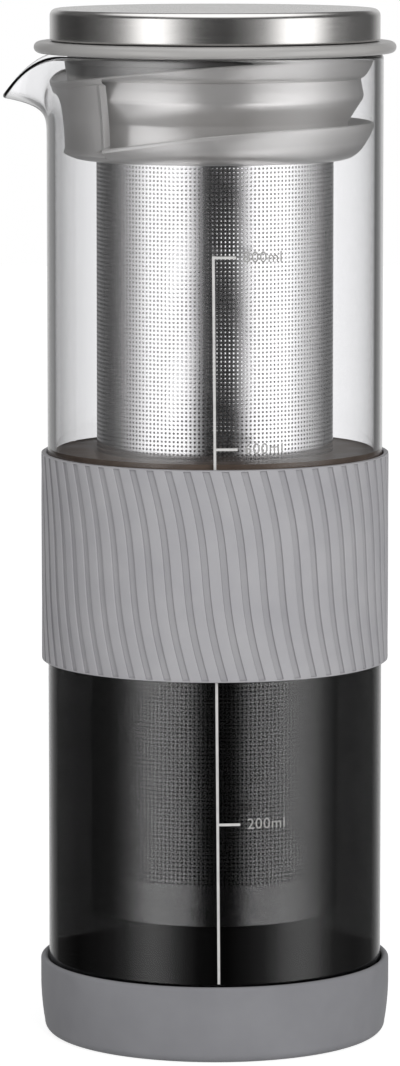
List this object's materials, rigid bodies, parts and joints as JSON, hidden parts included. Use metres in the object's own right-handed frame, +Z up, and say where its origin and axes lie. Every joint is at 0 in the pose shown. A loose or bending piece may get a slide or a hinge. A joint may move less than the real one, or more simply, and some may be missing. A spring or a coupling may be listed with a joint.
{
  "type": "cold brew coffee maker",
  "caption": "Tall glass carafe with a pulled spout, silicone grip and boot, turning silicone stopper, hanging perforated steel filter and lift-off steel lid.",
  "frame": {"origin": "centre of the boot's flat bottom face", "axes": "+Z up the carafe's axis; the spout points to -X and the volume scale faces -Y"},
  "size_m": [0.0936, 0.0858, 0.246],
  "materials": {
    "carafe_glass": "clear borosilicate glass",
    "grip_silicone": "matte grey silicone with moulded grooves",
    "boot_silicone": "matte darker grey silicone",
    "stopper_silicone": "satin grey silicone",
    "core_plastic": "moulded polypropylene",
    "filter_steel": "perforated stainless sheet",
    "cap_steel": "brushed round the rim",
    "insert_plastic": "moulded polypropylene",
    "seal_silicone": "silicone"
  },
  "bodies": {
    "carafe": {"glass_carafe": "carafe_glass", "grip_sleeve": "grip_silicone", "base_boot": "boot_silicone"},
    "collar": {"stopper_collar": "stopper_silicone", "collar_core": "core_plastic"},
    "filter": {"filter_rim": "filter_steel", "filter_tube": "filter_steel", "filter_base": "filter_steel"},
    "lid": {"lid_cap": "cap_steel", "lid_insert": "insert_plastic", "lid_seal": "seal_silicone"}
  },
  "joints": [
    {"name": "collar_turn", "type": "hinge", "parent": "carafe", "child": "collar", "pos_m": [0, 0, 0.2356], "axis": [0, 0, 1], "continuous": true},
    {"name": "filter_lift", "type": "slide", "parent": "collar", "child": "filter", "axis": [0, 0, 1], "range_m": [0, 0.22]},
    {"name": "lid_lift", "type": "slide", "parent": "filter", "child": "lid", "axis": [0, 0, 1], "range_m": [0, 0.05]}
  ]
}
